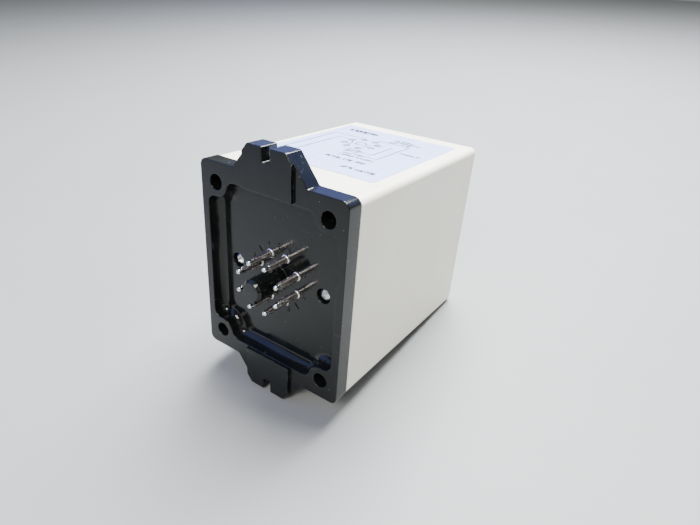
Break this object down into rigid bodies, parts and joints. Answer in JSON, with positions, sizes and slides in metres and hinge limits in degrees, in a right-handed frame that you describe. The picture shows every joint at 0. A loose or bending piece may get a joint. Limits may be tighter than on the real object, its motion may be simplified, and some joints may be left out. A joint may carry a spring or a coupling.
{
  "type": "plug in relay",
  "caption": "Plug-in relay: deep cream box cover on a black moulded base with an octal pin ring, a keyed centre post and slotted tabs above and below.",
  "frame": {"origin": "centre of the flat end face of the keyed post, the point that enters the socket first", "axes": "+Y runs from the pins into the cover along the plug axis, +Z points to the labelled face and the upper tab, +X to the right seen from the pin side"},
  "size_m": [0.06, 0.0984, 0.0904],
  "materials": {
    "moulding": "polished black phenolic moulding, lightly dusty",
    "contact_plating": "tin-nickel plate, brownish tarnish, bright solder tip",
    "housing": "cream, fine satin texture",
    "label_film": "satin silver-blue film with dark print",
    "zinc_screw": "bright zinc plate",
    "sheet_steel": "zinc-plated sheet",
    "board_laminate": "green solder mask over glass-epoxy",
    "capacitor_sleeve": "shrunk sleeve",
    "chip_epoxy": "moulded epoxy",
    "resistor_coat": "dipped coat with colour bands",
    "brown_wire": "stranded wire, soft sleeve",
    "red_wire": "stranded wire, soft sleeve",
    "orange_wire": "stranded wire, soft sleeve",
    "yellow_wire": "stranded wire, soft sleeve",
    "green_wire": "stranded wire, soft sleeve",
    "blue_wire": "stranded wire, soft sleeve",
    "violet_wire": "stranded wire, soft sleeve",
    "grey_wire": "stranded wire, soft sleeve",
    "lamination_steel": "varnished stack of thin sheets",
    "bobbin_nylon": "natural nylon",
    "winding_tape": "yellow polyester tape",
    "coil_copper": "enamelled copper wire in layers",
    "soft_iron": "nickel-plated soft iron",
    "contact_brass": "rolled spring brass, silver buttons",
    "contact_moulding": "brown phenolic",
    "spring_steel": "drawn wire"
  },
  "bodies": {
    "housing": {"base_flange": "moulding", "pin_1": "contact_plating", "pin_2": "contact_plating", "pin_3": "contact_plating", "pin_4": "contact_plating", "pin_5": "contact_plating", "pin_6": "contact_plating", "pin_7": "contact_plating", "pin_8": "contact_plating", "cover_shell": "housing", "wiring_label": "label_film", "cover_screw_bottom_left": "zinc_screw", "cover_screw_top_left": "zinc_screw", "cover_screw_bottom_right": "zinc_screw", "cover_screw_top_right": "zinc_screw", "chassis_screw_left": "zinc_screw", "chassis_screw_right": "zinc_screw", "chassis_nut_left": "zinc_screw", "chassis_nut_right": "zinc_screw", "board_screw_front": "zinc_screw", "board_screw_rear": "zinc_screw", "chassis_bracket": "sheet_steel", "transformer_strap": "sheet_steel", "circuit_board": "board_laminate", "capacitor_main": "capacitor_sleeve", "capacitor_timing": "capacitor_sleeve", "logic_chip": "chip_epoxy", "diode_1": "chip_epoxy", "diode_2": "chip_epoxy", "resistor_1": "resistor_coat", "resistor_2": "resistor_coat", "resistor_3": "resistor_coat", "lead_wire_1": "brown_wire", "lead_wire_2": "red_wire", "lead_wire_3": "orange_wire", "lead_wire_4": "yellow_wire", "lead_wire_5": "green_wire", "lead_wire_6": "blue_wire", "lead_wire_7": "violet_wire", "lead_wire_8": "grey_wire", "transformer_core": "lamination_steel", "transformer_bobbin": "bobbin_nylon", "coil_bobbin": "bobbin_nylon", "transformer_winding": "winding_tape", "coil_winding": "coil_copper", "relay_yoke": "soft_iron", "relay_core": "soft_iron", "closed_contact_left": "contact_brass", "closed_contact_right": "contact_brass", "open_contact_left": "contact_brass", "open_contact_right": "contact_brass", "contact_block": "contact_moulding", "return_spring": "spring_steel"},
    "armature": {"armature": "soft_iron", "contact_carrier": "contact_moulding", "moving_contact_left": "contact_brass", "moving_contact_right": "contact_brass"}
  },
  "joints": [
    {"name": "armature_hinge", "type": "hinge", "parent": "housing", "child": "armature", "pos_m": [0.0076, 0.07715, 0.00425], "axis": [1, 0, 0], "range_deg": [0, 3.5], "stiffness_Nm_per_rad": 0.05, "springref_deg": -3.44, "deforming": ["return_spring"]}
  ]
}
